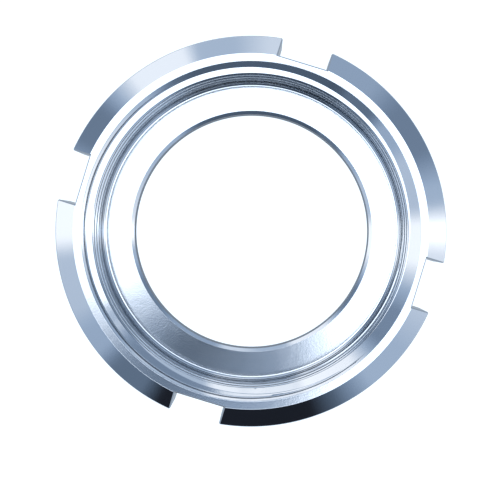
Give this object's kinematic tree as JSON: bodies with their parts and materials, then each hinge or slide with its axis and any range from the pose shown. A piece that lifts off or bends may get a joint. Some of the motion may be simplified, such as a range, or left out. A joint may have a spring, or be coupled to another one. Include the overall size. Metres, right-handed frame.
{
  "type": "slotted round union nut",
  "caption": "Slotted round union nut of bright stainless steel, with an internal round thread, an inner shoulder and a through-hole",
  "frame": {"origin": "centre of the back face, which the nut lies on", "axes": "+Z along the thread's axis towards the threaded opening; +X and +Y each through the middle of a spanner slot"},
  "size_m": [0.0772, 0.0772, 0.021],
  "materials": {
    "stainless": "bright turned stainless steel, close to a mirror, with fine turning marks"
  },
  "bodies": {
    "root": {"union_nut": "stainless"}
  },
  "joints": []
}
